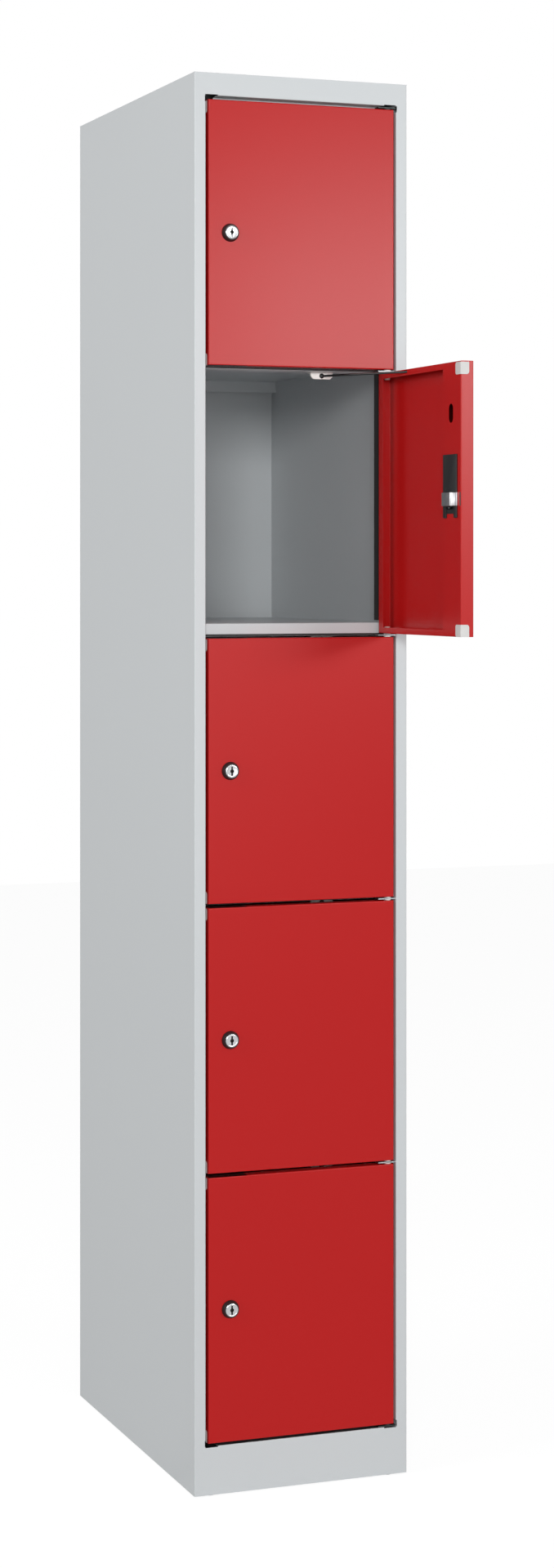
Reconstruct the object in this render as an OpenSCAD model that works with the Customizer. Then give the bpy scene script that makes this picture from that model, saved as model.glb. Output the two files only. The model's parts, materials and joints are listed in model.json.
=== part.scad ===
// Compartment locker: a tall folded-sheet cabinet with five lockable doors, one above another.
// X runs across the front, Y from front to back and Z up. The origin is on the floor, under
// the centre of the cabinet. Doors count from the top, and door 2 stands open.

/* [Body] */
// Width of the cabinet
body_w = 300; // [280:1:420]
// Depth of the cabinet without open doors
body_d = 500; // [400:1:600]
// Thickness of the sheet
sheet = 0.8; // [0.6:0.1:1]
// Outer radius of every bend
bend_r = 1.4; // [1.3:0.1:1.6]
// Width of the uprights beside the doors
stile_w = 15.5; // [14:0.5:24]
// Depth of the uprights' box section
stile_d = 31; // [30:0.5:40]
// Height of the front rail above the doors
rail_h = 29.5; // [22:0.5:60]
// Height of the plinth below the doors
plinth_h = 63; // [50:1:120]
// Width of the side panel's flange behind the back panel
back_flange = 12; // [8:1:20]
// Length of the relief cut at each end of the rail's and the plinth's fold
relief_l = 17; // [10:1:22]
// Height of the relief cut in the uprights' fold
relief_h = 8; // [5:1:12]
// Depth of both relief cuts into the front face
relief_in = 1.3; // [1:0.1:1.5]

/* [Doors] */
// Height of one door
door_h = 346; // [300:1:400]
// Thickness of a door over its flanges
door_t = 17.5; // [16:0.5:20]
// Gap between one door and the next
door_gap = 4.8; // [4.4:0.1:6]
// Gap beside the door on its lock side
gap_lock = 3.75; // [3:0.05:5]
// Gap beside the door on its hinge side
gap_hinge = 3.2; // [3.1:0.1:4]
// Height of the lip along the door's top and bottom flange
door_lip = 8; // [7:0.5:12]
// Width of the lip along the door's hinge side
hinge_lip = 15.5; // [12:0.5:18]
// Width of the turned-in panel that carries the lock
lock_panel = 54.5; // [52:0.5:80]
// Angle at which door 2 stands open
open_angle = 90; // [30:1:90]

/* [Hinges] */
// Distance from the door's hinge edge to the pin's axis
pin_in = 6.3; // [6:0.1:6.6]
// Distance from the door's front to the pin's axis
pin_back = 7.4; // [7.2:0.1:8]
// Diameter of the hinge pin
pin_d = 5; // [4:0.1:5]
// Thickness of the hinge tab
tab_t = 1.4; // [1:0.1:1.6]
// Length of the hinge tab
tab_l = 25; // [16:1:30]
// Width of the hinge tab
tab_w = 12; // [9:0.5:13]
// Clear height between the lowest tab and the plinth
tab_above_plinth = 0.4; // [0.2:0.1:1]
// Clear height between the highest tab and the rail
tab_below_rail = 1.7; // [1.4:0.1:3]
// Diameter of the bush's collar
collar_d = 9.5; // [8.5:0.1:10]
// Diameter of the bush's barrel
barrel_d = 7.4; // [6.8:0.1:8]
// Length of the bush's barrel inside the door
barrel_l = 8.5; // [7:0.5:12]
// Radial clearance of the pin in its bush
pin_fit = 0.05; // [0.02:0.01:0.08]
// Play of a door between its two tabs, at each end
end_play = 0.15; // [0.1:0.01:0.2]

/* [Shelves] */
// Height of a shelf above the lower edge of the door that closes on it
shelf_up = 14.1; // [12:0.1:18]
// Clear height between a door's top edge and the lip above it
lip_clear = 1.7; // [1.5:0.1:2]
// Gap between a closed door and the lip behind it
stop_gap = 2; // [1.8:0.1:2.6]
// Depth of the fold under a shelf's front lip
lip_run = 36; // [30:1:60]
// Gap for air between a shelf and the back panel
air_gap = 17; // [8:1:30]
// Height of a shelf's rear lip
rear_lip = 17; // [10:1:20]
// Height of a shelf's side flanges
side_lip = 12; // [8:1:16]

/* [Stop strips] */
// Width of the black strip behind the hinge side
strip_w = 22.5; // [18:0.5:24]
// Thickness of the strip
strip_t = 1.5; // [1:0.1:2]
// Gap between a closed door and the strip
strip_back = 3; // [2.8:0.1:4]
// Height of the strip's lower end above the floor, so that a tray can lie flat
strip_up = 3; // [2.5:0.5:10]

/* [Door stay] */
// Radius from the hinge axis to the rod's pivot and to the ball
stay_r = 88; // [80:1:96]
// Distance from the door's front to the rod's pivot
pivot_back = 12; // [11:0.5:13]
// Distance from the cabinet's front to the ball
ball_back = 40; // [36:1:46]
// Height of the rod's centre below the door's top edge
rod_down = 3.2; // [3:0.1:3.4]
// Diameter of the rod
rod_d = 3; // [2.4:0.1:3]
// Diameter of the ball
ball_d = 7.6; // [7:0.1:8]
// Clearance of the ball in its bracket
ball_fit = 0.2; // [0.2:0.05:0.35]
// Radial clearance of the rod in the ball and in the door
rod_fit = 0.1; // [0.08:0.01:0.15]
// Width of the bracket
bracket_w = 31.5; // [26:0.5:36]
// Wall of the bracket below the ball
bracket_wall = 0.4; // [0.3:0.1:2]
// Thickness of the bracket's foot
foot_plate_t = 1.5; // [1:0.1:2]
// Thickness of the bracket's plate
bracket_t = 4; // [3:0.1:4.5]
// Depth of the bracket's foot under the shelf
bracket_foot = 12; // [9:0.5:12]
// Diameter of the stop on the rod's end
stop_d = 6; // [5:0.1:7]

/* [Lock] */
// Distance from the door's lock edge to the cylinder's axis
lock_in = 30.2; // [29:0.1:32]
// Diameter of the rosette on the door
rosette_d = 23.8; // [22:0.1:28]
// Diameter of the rosette at its face
face_d = 19.2; // [18.8:0.1:21]
// Height of the rosette
rosette_h = 6.5; // [5:0.1:9]
// Diameter of the plug's head
head_d = 17.2; // [16:0.1:17.4]
// Height by which the plug's head stands out of the rosette
head_out = 0.4; // [0.2:0.1:1]
// Diameter of the plug's body
plug_d = 12; // [10:0.1:13]
// Diameter of the housing's barrel
housing_d = 18; // [16.5:0.1:19]
// Radial clearance of the plug's body in its housing
plug_fit = 0.05; // [0.02:0.01:0.08]
// Width of the keyway
key_w = 2; // [1.5:0.1:2.4]
// Height of the keyway
key_h = 12; // [10:0.1:13]
// Diameter of the keyway's round middle
key_d = 4.6; // [4:0.1:5]
// Depth of the keyway
key_deep = 5; // [3:0.5:9]
// Width of the lock case
case_w = 40; // [38:0.5:41]
// Height of the lock case
case_h = 80; // [72:1:96]
// Distance from the cylinder's axis to the lower end of the case
case_down = 23.5; // [22:0.5:28]
// Thickness of the case's cover
cover_t = 2; // [1.6:0.1:2.6]
// Width of the notch between the case's two legs
notch_w = 24; // [16:0.5:24]
// Height of the notch between the case's two legs
notch_h = 5.3; // [4:0.1:7]
// Height of the bolt
bolt_h = 16.8; // [14:0.1:18]
// Width of the bolt's raised head
bolt_w = 26; // [20:0.5:26]
// Height of the bolt's head above the lock panel
bolt_out = 8.5; // [7:0.1:9]
// Distance from the door's lock edge to the tip of the drawn bolt
tip_in = 9; // [8.5:0.1:9.5]
// Distance from the bolt's tip to its head
tip_l = 5; // [4.6:0.1:6]
// Travel of the bolt
bolt_travel = 18; // [16:0.5:18]
// Width of the plate that guides the bolt under the cover
guide_w = 5; // [3:0.5:5]
// Height of the guide plate above and below the bolt
guide_h = 3; // [2:0.5:4]
// Thickness of the guide plate
guide_t = 1.2; // [1:0.1:1.2]
// Sliding clearance of the bolt
bolt_fit = 0.2; // [0.15:0.01:0.3]
// Width of the oblong hole in the lock panel
oblong_w = 13; // [8:0.5:16]
// Height of the oblong hole in the lock panel
oblong_h = 24; // [20:0.5:30]
// Distance from the door's top edge to the middle of the oblong hole
oblong_down = 64.5; // [50:0.5:70]

/* [Corner caps] */
// Length of a cap along the door's edge
cap_l = 15.5; // [12:0.5:24]
// Distance from the door's top edge to the upper cap
cap_down = 1.5; // [0.5:0.1:3]
// Width of a cap on the lock panel
cap_w = 15; // [12:0.5:20]
// Width of a cap on the door's edge
cap_d = 11; // [8:0.5:13]
// Thickness of a cap
cap_t = 0.8; // [0.5:0.1:1]

/* [Feet] */
// Height by which the feet stand out below the cabinet
foot_out = 2; // [2:0.5:15]
// Distance from the upright to a foot's axis
foot_in = 9; // [9:0.5:20]
// Distance from the cabinet's front or back to a foot's axis
foot_y = 12; // [11:0.5:30]
// Diameter of a foot
foot_d = 16; // [12:0.5:20]
// Diameter of a foot's stud
stud_d = 8; // [6:0.5:8]
// Length of a foot's stud
stud_l = 24; // [18:1:40]
// Side of the corner plate that carries a foot
corner_l = 44; // [38:1:60]
// Thickness of the corner plate
corner_t = 2; // [1.5:0.1:3]
// Width across the flats of the nut on the corner plate
nut_af = 13; // [11:0.5:14]
// Height of the nut
nut_h = 6.5; // [5:0.5:8]
// Width of the flange under the plinth and the side panels
base_flange = 30; // [24:1:50]

/* [Wall fixing] */
// Diameter of the fixing holes in the back panel
wall_hole_d = 8; // [5:0.5:10]
// Distance between the fixing holes
wall_hole_gap = 150; // [100:1:200]
// Distance from the cabinet's top to the fixing holes
wall_hole_down = 120; // [80:1:250]

/* [Hidden] */
$fn = 64;
doors = 5;
half = sheet / 2;
eps = 0.01;
left = -body_w / 2;
right = body_w / 2;
front = -body_d / 2;
back = body_d / 2;
base = foot_out;

// The opening for the doors
gap_bottom = (door_gap + tab_t) / 2 + tab_above_plinth;
gap_top = (door_gap + tab_t) / 2 + tab_below_rail;
open_l = left + stile_w;
open_r = right - stile_w;
open_z0 = base + plinth_h;
open_z1 = open_z0 + gap_bottom + doors * door_h + (doors - 1) * door_gap + gap_top;
top = open_z1 + rail_h;

// Places that belong to one door, counted from the top
function door_z(i) = open_z0 + gap_bottom + (doors - i) * (door_h + door_gap);
function door_top(i) = door_z(i) + door_h;
function shelf_z(i) = door_z(i) + shelf_up;
function lip_z(i) = door_top(i) + lip_clear;
function lock_z(i) = door_z(i) + door_h / 2;
function rod_z(i) = door_top(i) - rod_down;
door_swing = 90;
function turned(i) = i == 2 ? open_angle : 0;
door_l = open_l + gap_lock;
door_r = open_r - gap_hinge;
door_w = door_r - door_l;

// The hinge axis, and the bush whose collar fills the gap between door and tab
pin_x = door_r - pin_in;
pin_y = front + pin_back;
collar_t = (door_gap - tab_t) / 2 - end_play;
pin_reach = collar_t + barrel_l - end_play;

// Fronts of the lips behind the doors
lip_y = front + door_t + stop_gap;
shelf_back = back - sheet * 2 - air_gap;

// The stay: pivot and ball lie on one circle round the hinge axis, so that the rod
// turns half as far as its door and always runs through the ball
ball_x = pin_x - sqrt(pow(stay_r, 2) - pow(ball_back - pin_back, 2));
ball_y = front + ball_back;
pivot_angle = 180 - asin((pivot_back - pin_back) / stay_r);
ball_angle = 180 - asin((ball_back - pin_back) / stay_r);
function pivot_x(a) = pin_x + stay_r * cos(pivot_angle + a);
function pivot_y(a) = pin_y + stay_r * sin(pivot_angle + a);
function rod_angle(a) = atan2(ball_y - pivot_y(a), ball_x - pivot_x(a));
bracket_h = lip_clear + rod_down + ball_d / 2 + ball_fit + bracket_wall;
corner_share = 0.7;
chamfer_share = 0.4;
rod_span = 2 * stay_r * sin((pivot_angle + door_swing - ball_angle) / 2);
stop_clear = 1;
stop_l = 4;

// The lock
lock_x = door_l + lock_in;
panel_y = front + door_t;
head_seat = 2.1;
head_fit = 0.15;
head_under = 0.1;
body_deep = door_t - 2;
case_in_w = 32;
case_in_h = 60;
case_z0 = -case_down;
case_in_z = 10;
insert_gap = 0.5;
strike_gap = 1.6;
ramp_l = 6.3;
ramp_angle = 30;
ramp_deep = (ramp_l - sheet) * tan(ramp_angle);
ramp_wall = sheet / cos(ramp_angle);
ramp_cut = [[sheet, -ramp_deep], [ramp_l, 0], [ramp_l, eps], [sheet, eps]];
ramp_form = [[sheet / 2, -ramp_deep - ramp_wall - sheet / 2 * tan(ramp_angle)], [ramp_l, -ramp_wall],
    [ramp_l, -sheet / 2], [bend_r, -sheet / 2], [sheet / 2, -bend_r]];
bolt_end = door_l + tip_in + tip_l + bolt_w;
bolt_chamfer = 1.5;

// Corner plates stand beside the uprights
corner_x = left + stile_w;
foot_x = corner_x + foot_in;
foot_edge = 1;
stud_room = 1;

// Colours as the object shows them
grey_paint = [0.80, 0.82, 0.82];
red_paint = [0.72, 0.16, 0.16];
black = [0.08, 0.08, 0.08];
chrome = [0.86, 0.87, 0.88];
zinc = [0.72, 0.73, 0.74];
white = [0.94, 0.94, 0.93];
pale_grey = [0.78, 0.78, 0.77];

// A box between two corners
module block(low, high) {
    translate(low)
        cube(high - low);
}

// A flat strip of sheet seen on its edge, centred on the line from a to b
module leg(a, b) {
    side = half * [a.y - b.y, b.x - a.x] / norm(b - a);
    polygon([a - side, b - side, b + side, a + side]);
}

// The round bend at corner p between the directions u and v
module bend(p, u, v) {
    mid_r = bend_r - half;
    translate(p + mid_r * (u + v))
        intersection() {
            difference() {
                circle(r = bend_r);
                circle(r = bend_r - sheet);
            }
            polygon([[0, 0], -2 * bend_r * u, -2 * bend_r * (u + v), -2 * bend_r * v]);
        }
}

// A folded sheet seen on its edge: legs along the sheet's middle line, with round bends
module fold(path) {
    last = len(path) - 1;
    mid_r = bend_r - half;
    dir = [for (i = [0 : last - 1]) (path[i + 1] - path[i]) / norm(path[i + 1] - path[i])];
    for (i = [0 : last - 1])
        leg(path[i] + (i > 0 ? mid_r : 0) * dir[i], path[i + 1] - (i < last - 1 ? mid_r : 0) * dir[i]);
    for (i = [1 : last - 1])
        bend(path[i], -dir[i - 1], dir[i]);
}

// Extrudes a front-to-back section, drawn in Y and Z, across the cabinet from x0 to x1
module across(x0, x1) {
    translate([x0, 0, 0])
        rotate([90, 0, 90])
            linear_extrude(height = x1 - x0)
                children();
}

// Extrudes a section drawn in X and Y upwards from z0 to z1
module upwards(z0, z1) {
    translate([0, 0, z0])
        linear_extrude(height = z1 - z0)
            children();
}

// A rectangle with round corners between two corner points
module round_rect(low, high, r) {
    translate([low.x + r, low.y])
        square([high.x - low.x - 2 * r, high.y - low.y]);
    translate([low.x, low.y + r])
        square([high.x - low.x, high.y - low.y - 2 * r]);
    for (x = [low.x + r, high.x - r])
        for (y = [low.y + r, high.y - r])
            translate([x, y])
                circle(r = r);
}

// Puts a door's pieces where the door stands, turned about its hinge axis
module on_door(i) {
    translate([pin_x, pin_y, 0])
        rotate([0, 0, turned(i)])
            translate([-pin_x, -pin_y, 0])
                children();
}

// Turns a piece drawn upwards so that it points into the cabinet from the door's lock
module at_lock(i) {
    translate([lock_x, front, lock_z(i)])
        rotate([-90, 0, 0])
            children();
}

// Side panel and upright, folded from one sheet, with the slots that take the bolts. Where the
// rail and the plinth meet the upright, its bend is filled with weld and ground flat
module side_sheet(slotted) {
    difference() {
        union() {
            upwards(base, top - sheet)
                fold([[left + back_flange, back - half], [left + half, back - half],
                    [left + half, front + half], [open_l - half, front + half],
                    [open_l - half, front + stile_d - half], [left + half, front + stile_d - half]]);
            block([left + sheet, front + stile_d, base],
                [left + base_flange, back - sheet * 2, base + sheet]);
            for (z = [[base, open_z0 - relief_in], [open_z1 + relief_in, top - sheet]])
                block([open_l - bend_r, front, z[0]], [open_l, front + bend_r, z[1]]);
        }
        translate([foot_x, back - foot_y, base - eps])
            cylinder(d = stud_d + stud_room, h = sheet * 2);
        for (z = [open_z0, open_z1 - relief_h])
            block([open_l - relief_in, front - eps, z],
                [open_l + eps, front + stile_d - bend_r, z + relief_h]);
        if (slotted)
            for (i = [1 : doors])
                block([open_l - sheet - eps, panel_y - strike_gap, lock_z(i) - bolt_h / 2 - strike_gap],
                    [open_l + eps, panel_y + bolt_out + strike_gap, lock_z(i) + bolt_h / 2 + strike_gap]);
    }
}

module side_left() {
    color(grey_paint)
        side_sheet(true);
}

module side_right() {
    color(grey_paint)
        mirror([1, 0, 0])
            side_sheet(false);
}

module back_panel() {
    color(grey_paint)
        difference() {
            block([left + bend_r, back - sheet * 2, base], [right - bend_r, back - sheet, top - sheet]);
            for (x = [-1, 1])
                translate([x * wall_hole_gap / 2, back - sheet * 3, top - wall_hole_down])
                    rotate([-90, 0, 0])
                        cylinder(d = wall_hole_d, h = sheet * 3);
        }
}

// Roof sheet with the front rail and its box section folded below it
module roof() {
    color(grey_paint) {
        block([left, front, top - sheet], [right, back, top]);
        block([open_l, front, open_z1 + relief_in], [open_r, front + sheet, top - half]);
        across(open_l + relief_l, open_r - relief_l)
            fold([[front + half, top - half], [front + half, open_z1 + half],
                [lip_y + half, open_z1 + half], [lip_y + half, lip_z(1) + half],
                [lip_y + lip_run - half, lip_z(1) + half], [lip_y + lip_run - half, top - half]]);
    }
}

// Lowest floor and plinth, folded from one sheet
module floor_plate() {
    floor_z = shelf_z(doors);
    color(grey_paint) {
        block([open_l, front, base], [open_r, front + sheet, open_z0 - relief_in]);
        across(open_l + relief_l, open_r - relief_l)
            fold([[front + base_flange, base + half], [front + half, base + half],
                [front + half, open_z0 - half], [lip_y + half, open_z0 - half],
                [lip_y + half, floor_z - half], [front + stile_d + half, floor_z - half]]);
        block([open_l, lip_y + bend_r, floor_z - sheet], [open_r, front + stile_d + half, floor_z]);
        block([left + sheet, front + stile_d, floor_z - sheet], [right - sheet, back - sheet * 2, floor_z]);
    }
}

// Shelf below compartment i: a flat pan with a folded front, a rear lip and side flanges
module shelf(i) {
    z = shelf_z(i);
    color(grey_paint) {
        across(open_l, open_r)
            fold([[front + stile_d + half, z - half], [lip_y + half, z - half],
                [lip_y + half, lip_z(i + 1) + half], [lip_y + lip_run, lip_z(i + 1) + half]]);
        across(left + sheet, right - sheet)
            fold([[front + stile_d, z - half], [shelf_back - half, z - half],
                [shelf_back - half, z - rear_lip]]);
        for (x = [left + sheet, right - sheet * 2])
            block([x, front + stile_d, z - side_lip], [x + sheet, shelf_back - bend_r, z - half]);
    }
}

// Black angle strips that close the hinge side of each compartment behind its door
module stop_strips() {
    face_y = panel_y + strip_back;
    color(black)
        for (i = [1 : doors])
            upwards(shelf_z(i) + strip_up, lip_z(i)) {
                translate([open_r - strip_w, face_y])
                    square([strip_w, strip_t]);
                translate([open_r - strip_t, face_y])
                    square([strip_t, front + stile_d - face_y]);
            }
}

// Heights of the middles of the hinge tabs, from the lowest to the highest
function tab_z(k) = door_z(doors) - door_gap / 2 + k * (door_h + door_gap);

module hinge_tabs() {
    color(zinc)
        for (k = [0 : doors])
            difference() {
                block([open_r - tab_l, pin_y - tab_w / 2, tab_z(k) - tab_t / 2],
                    [open_r, pin_y + tab_w / 2, tab_z(k) + tab_t / 2]);
                translate([pin_x, pin_y, tab_z(k) - tab_t])
                    cylinder(d = pin_d, h = tab_t * 2);
            }
}

// Pins through the tabs: each reaches into the door above it and the door below it
module hinge_pins() {
    color(chrome)
        for (k = [0 : doors]) {
            down = k > 0 ? pin_reach : 0;
            up = k < doors ? pin_reach : 0;
            translate([pin_x, pin_y, tab_z(k) - tab_t / 2 - down])
                cylinder(d = pin_d, h = down + tab_t + up);
        }
}

// White brackets that hold the balls of the door stays under the lips
module stay_brackets() {
    color(white)
        for (i = [1 : doors])
            difference() {
                translate([ball_x, ball_y, lip_z(i)])
                    union() {
                        translate([0, bracket_t / 2, 0])
                            rotate([90, 0, 0])
                                linear_extrude(height = bracket_t)
                                    bracket_outline();
                        block([-bracket_w / 2, 0, -foot_plate_t], [bracket_w / 2, bracket_foot, 0]);
                    }
                translate([ball_x, ball_y, rod_z(i)])
                    rotate([90, 0, 0])
                        sphere(d = ball_d + 2 * ball_fit, $fn = 32);
            }
}

// Front of a bracket: a plate with one large round corner and one chamfer
module bracket_outline() {
    w = bracket_w / 2;
    corner_r = bracket_h * corner_share;
    chamfer = bracket_h * chamfer_share;
    polygon([[-w, 0], [-w, corner_r - bracket_h], [corner_r - w, corner_r - bracket_h],
        [corner_r - w, -bracket_h], [w - chamfer, -bracket_h], [w, chamfer - bracket_h], [w, 0]]);
    translate([corner_r - w, corner_r - bracket_h])
        intersection() {
            circle(r = corner_r);
            translate([-corner_r, -corner_r])
                square(corner_r);
        }
}

// Adjustable feet: a round glide on a stud
module levelling_feet() {
    color(pale_grey)
        for (x = [-1, 1])
            for (y = [-1, 1])
                translate([x * foot_x, y * (back - foot_y), 0]) {
                    cylinder(d1 = foot_d - foot_edge, d2 = foot_d, h = foot_edge);
                    translate([0, 0, foot_edge])
                        cylinder(d = foot_d, h = base - foot_edge);
                    cylinder(d = stud_d, h = stud_l);
                }
}

// Corner plates with a nut for each foot
module corner_plates() {
    color(zinc)
        for (sx = [0, 1])
            for (sy = [0, 1])
                mirror([sx, 0, 0])
                    mirror([0, sy, 0])
                        corner_plate(sy == 0);
}

module corner_plate(at_front) {
    z = base + sheet;
    y_edge = at_front ? sheet : sheet * 2;
    difference() {
        union() {
            block([corner_x, front + y_edge, z], [corner_x + corner_l, front + corner_l, z + corner_t]);
            translate([foot_x, front + foot_y, z + corner_t])
                cylinder(d = nut_af / cos(30), h = nut_h, $fn = 6);
        }
        translate([foot_x, front + foot_y, z - eps])
            cylinder(d = stud_d, h = corner_t + nut_h + 2 * eps);
    }
}

// A box with the door's rounded edges, drawn in from the door's outside by inset
module door_form(i, inset) {
    r = bend_r - inset;
    intersection() {
        upwards(door_z(i) + inset, door_top(i) - inset)
            round_rect([door_l + inset, front + inset], [door_r - inset, panel_y - inset], r);
        across(door_l + inset, door_r - inset)
            round_rect([front + inset, door_z(i) + inset], [panel_y - inset, door_top(i) - inset], r);
    }
}

// One folded door panel with the holes for bushes, stay and lock
module door(i) {
    z0 = door_z(i);
    z1 = door_top(i);
    window_y = [panel_y - sheet * 2, panel_y + eps];
    color(red_paint)
        on_door(i)
            difference() {
                union() {
                    difference() {
                        door_form(i, 0);
                        door_form(i, sheet);
                    }
                    intersection() {
                        door_form(i, half);
                        block([door_l + lock_panel - sheet, front, z0], [door_l + lock_panel, panel_y, z1]);
                    }
                    bolt_ramp(i, ramp_form, sheet);
                }
                bolt_ramp(i, ramp_cut, 0);
                block([door_l + lock_panel, window_y[0], z0 + door_lip],
                    [door_r - hinge_lip, window_y[1], z1 - door_lip]);
                translate([pin_x, pin_y, z0 - eps])
                    cylinder(d = barrel_d, h = door_h + 2 * eps);
                translate([pivot_x(0), pivot_y(0), z1 - sheet * 2])
                    cylinder(d = rod_d + 2 * rod_fit, h = sheet * 3);
                stay_slot(i);
                translate([lock_x, front - eps, lock_z(i)])
                    rotate([-90, 0, 0])
                        cylinder(d = housing_d, h = sheet * 2);
                block([lock_x - case_in_w / 2 - insert_gap, window_y[0],
                    lock_z(i) + case_z0 + case_in_z - insert_gap],
                    [lock_x + case_in_w / 2 + insert_gap, window_y[1],
                        lock_z(i) + case_z0 + case_in_z + case_in_h + insert_gap]);
                oblong_hole(z1 - oblong_down);
            }
}

// The pressed ramp beside the bolt: it starts flush and sinks towards the door's edge
module bolt_ramp(i, points, wall) {
    half_h = bolt_h / 2 + bolt_fit + wall;
    translate([door_l, panel_y, lock_z(i) - half_h])
        linear_extrude(height = 2 * half_h)
            polygon(points);
}

// The oblong hole in the lock panel, with round ends
module oblong_hole(z) {
    for (s = [-1, 1])
        translate([lock_x, panel_y - sheet * 2, z + s * (oblong_h - oblong_w) / 2])
            rotate([-90, 0, 0])
                cylinder(d = oblong_w, h = sheet * 3);
    block([lock_x - oblong_w / 2, panel_y - sheet * 2, z - (oblong_h - oblong_w) / 2],
        [lock_x + oblong_w / 2, panel_y + eps, z + (oblong_h - oblong_w) / 2]);
}

// The slot in the door's top lip, as wide as the rod swings in it
module stay_slot(i) {
    reach = panel_y - pivot_y(0);
    room = rod_d / 2 + rod_fit * 4;
    steep = rod_angle(0);
    flat = steep - door_swing / 2;
    block([pivot_x(0) + (reach - sheet) / tan(steep) - room / sin(steep), panel_y - sheet * 2,
        rod_z(i) - room],
        [pivot_x(0) + reach / tan(flat) + room / sin(flat), panel_y + eps, rod_z(i) + room]);
}

// Bushes in the door's top and bottom flange, with the bore for the pin
module door_bushes(i) {
    color(white)
        on_door(i)
            for (s = [0, 1])
                translate([pin_x, pin_y, s == 0 ? door_z(i) : door_top(i)])
                    mirror([0, 0, s])
                        difference() {
                            union() {
                                translate([0, 0, -collar_t])
                                    cylinder(d = collar_d, h = collar_t);
                                cylinder(d = barrel_d, h = barrel_l);
                            }
                            translate([0, 0, -collar_t - eps])
                                cylinder(r = pin_d / 2 + pin_fit, h = collar_t + barrel_l + 2 * eps);
                        }
}

// Caps on the two corners of the door's lock side
module corner_caps(i) {
    color(pale_grey)
        on_door(i)
            for (s = [0, 1])
                difference() {
                    cap_z0 = s == 0 ? door_z(i) : door_top(i) - cap_down - cap_l;
                    block([door_l - cap_t, panel_y - cap_d, cap_z0],
                        [door_l + cap_w, panel_y + cap_t, cap_z0 + cap_l]);
                    door_form(i, 0);
                    block([door_l + bend_r, front + bend_r, door_z(i) + bend_r],
                        [door_r - bend_r, panel_y - bend_r, door_top(i) - bend_r]);
                }
}

// Black lock housing: a conical rosette on the door and a barrel behind it
module lock_housing(i) {
    color(black)
        on_door(i)
            at_lock(i)
                difference() {
                    union() {
                        translate([0, 0, -rosette_h])
                            cylinder(d1 = face_d, d2 = rosette_d, h = rosette_h);
                        cylinder(d = housing_d, h = body_deep);
                    }
                    translate([0, 0, -rosette_h - eps])
                        cylinder(d = head_d + 2 * head_fit, h = head_seat + eps);
                    translate([0, 0, -rosette_h])
                        cylinder(r = plug_d / 2 + plug_fit, h = rosette_h + body_deep + eps);
                }
}

// Chrome plug with the keyway, which the key turns
module lock_plug(i) {
    color(chrome)
        on_door(i)
            at_lock(i)
                difference() {
                    union() {
                        translate([0, 0, -rosette_h - head_out])
                            cylinder(d = head_d, h = head_out + head_seat - head_under);
                        translate([0, 0, -rosette_h])
                            cylinder(d = plug_d, h = rosette_h + body_deep - bolt_fit);
                    }
                    translate([0, 0, -rosette_h - head_out - eps]) {
                        cylinder(d = key_d, h = key_deep);
                        translate([-key_w / 2, -key_h / 2, 0])
                            cube([key_w, key_h, key_deep]);
                    }
                }
}

// Black lock case: a forked cover on the lock panel and a body behind it
module lock_case(i) {
    z = lock_z(i);
    low = z + case_z0;
    gap = bolt_h / 2 + bolt_fit;
    color(black)
        on_door(i)
            difference() {
                union() {
                    block([lock_x - case_w / 2, panel_y, low],
                        [lock_x + case_w / 2, panel_y + cover_t, low + case_h]);
                    block([lock_x - case_in_w / 2, front + sheet + insert_gap, low + case_in_z],
                        [lock_x + case_in_w / 2, panel_y, low + case_in_z + case_in_h]);
                }
                block([lock_x - notch_w / 2, panel_y - eps, low - eps],
                    [lock_x + notch_w / 2, panel_y + cover_t + eps, low + notch_h]);
                block([lock_x - case_w / 2 - eps, panel_y, z - gap],
                    [bolt_end + bolt_fit, panel_y + cover_t + eps, z + gap]);
                block([bolt_end - guide_w - bolt_travel - bolt_fit, panel_y - guide_t - bolt_fit * 2,
                    z - gap - guide_h],
                    [bolt_end + bolt_fit, panel_y, z + gap + guide_h]);
                translate([lock_x, front, z])
                    rotate([-90, 0, 0])
                        cylinder(d = housing_d, h = body_deep + eps);
            }
}

// Bolt: a flat tongue with a raised head, guided by a plate that slides under the cover
module lock_bolt(i) {
    x = door_l + tip_in;
    y = panel_y + bolt_fit;
    y1 = panel_y + bolt_out;
    color(zinc)
        on_door(i) {
            upwards(lock_z(i) - bolt_h / 2, lock_z(i) + bolt_h / 2)
                polygon([[x, y], [x, panel_y + cover_t], [x + tip_l, panel_y + cover_t],
                    [x + tip_l, y1 - bolt_chamfer], [x + tip_l + bolt_chamfer, y1],
                    [bolt_end, y1], [bolt_end, panel_y - bolt_fit],
                    [bolt_end - guide_w, panel_y - bolt_fit], [bolt_end - guide_w, y]]);
            block([bolt_end - guide_w, panel_y - bolt_fit - guide_t, lock_z(i) - bolt_h / 2 - guide_h],
                [bolt_end, panel_y - bolt_fit, lock_z(i) + bolt_h / 2 + guide_h]);
        }
}

// Black stay rod: its bent end turns in the door's top flange, its stop meets the ball
module stay_rod(i) {
    a = turned(i);
    end = rod_span + ball_d / 2 + stop_clear;
    color(black)
        translate([pivot_x(a), pivot_y(a), rod_z(i)]) {
            cylinder(d = rod_d, h = rod_down);
            sphere(d = rod_d);
            rotate([0, 90, rod_angle(a)]) {
                cylinder(d = rod_d, h = end);
                translate([0, 0, end])
                    cylinder(d = stop_d, h = stop_l);
            }
        }
}

// Black ball that the rod slides through
module stay_ball(i) {
    color(black)
        translate([ball_x, ball_y, rod_z(i)])
            difference() {
                sphere(d = ball_d);
                rotate([0, 90, rod_angle(turned(i))])
                    translate([0, 0, -ball_d])
                        cylinder(r = rod_d / 2 + rod_fit, h = 2 * ball_d);
            }
}

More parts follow.
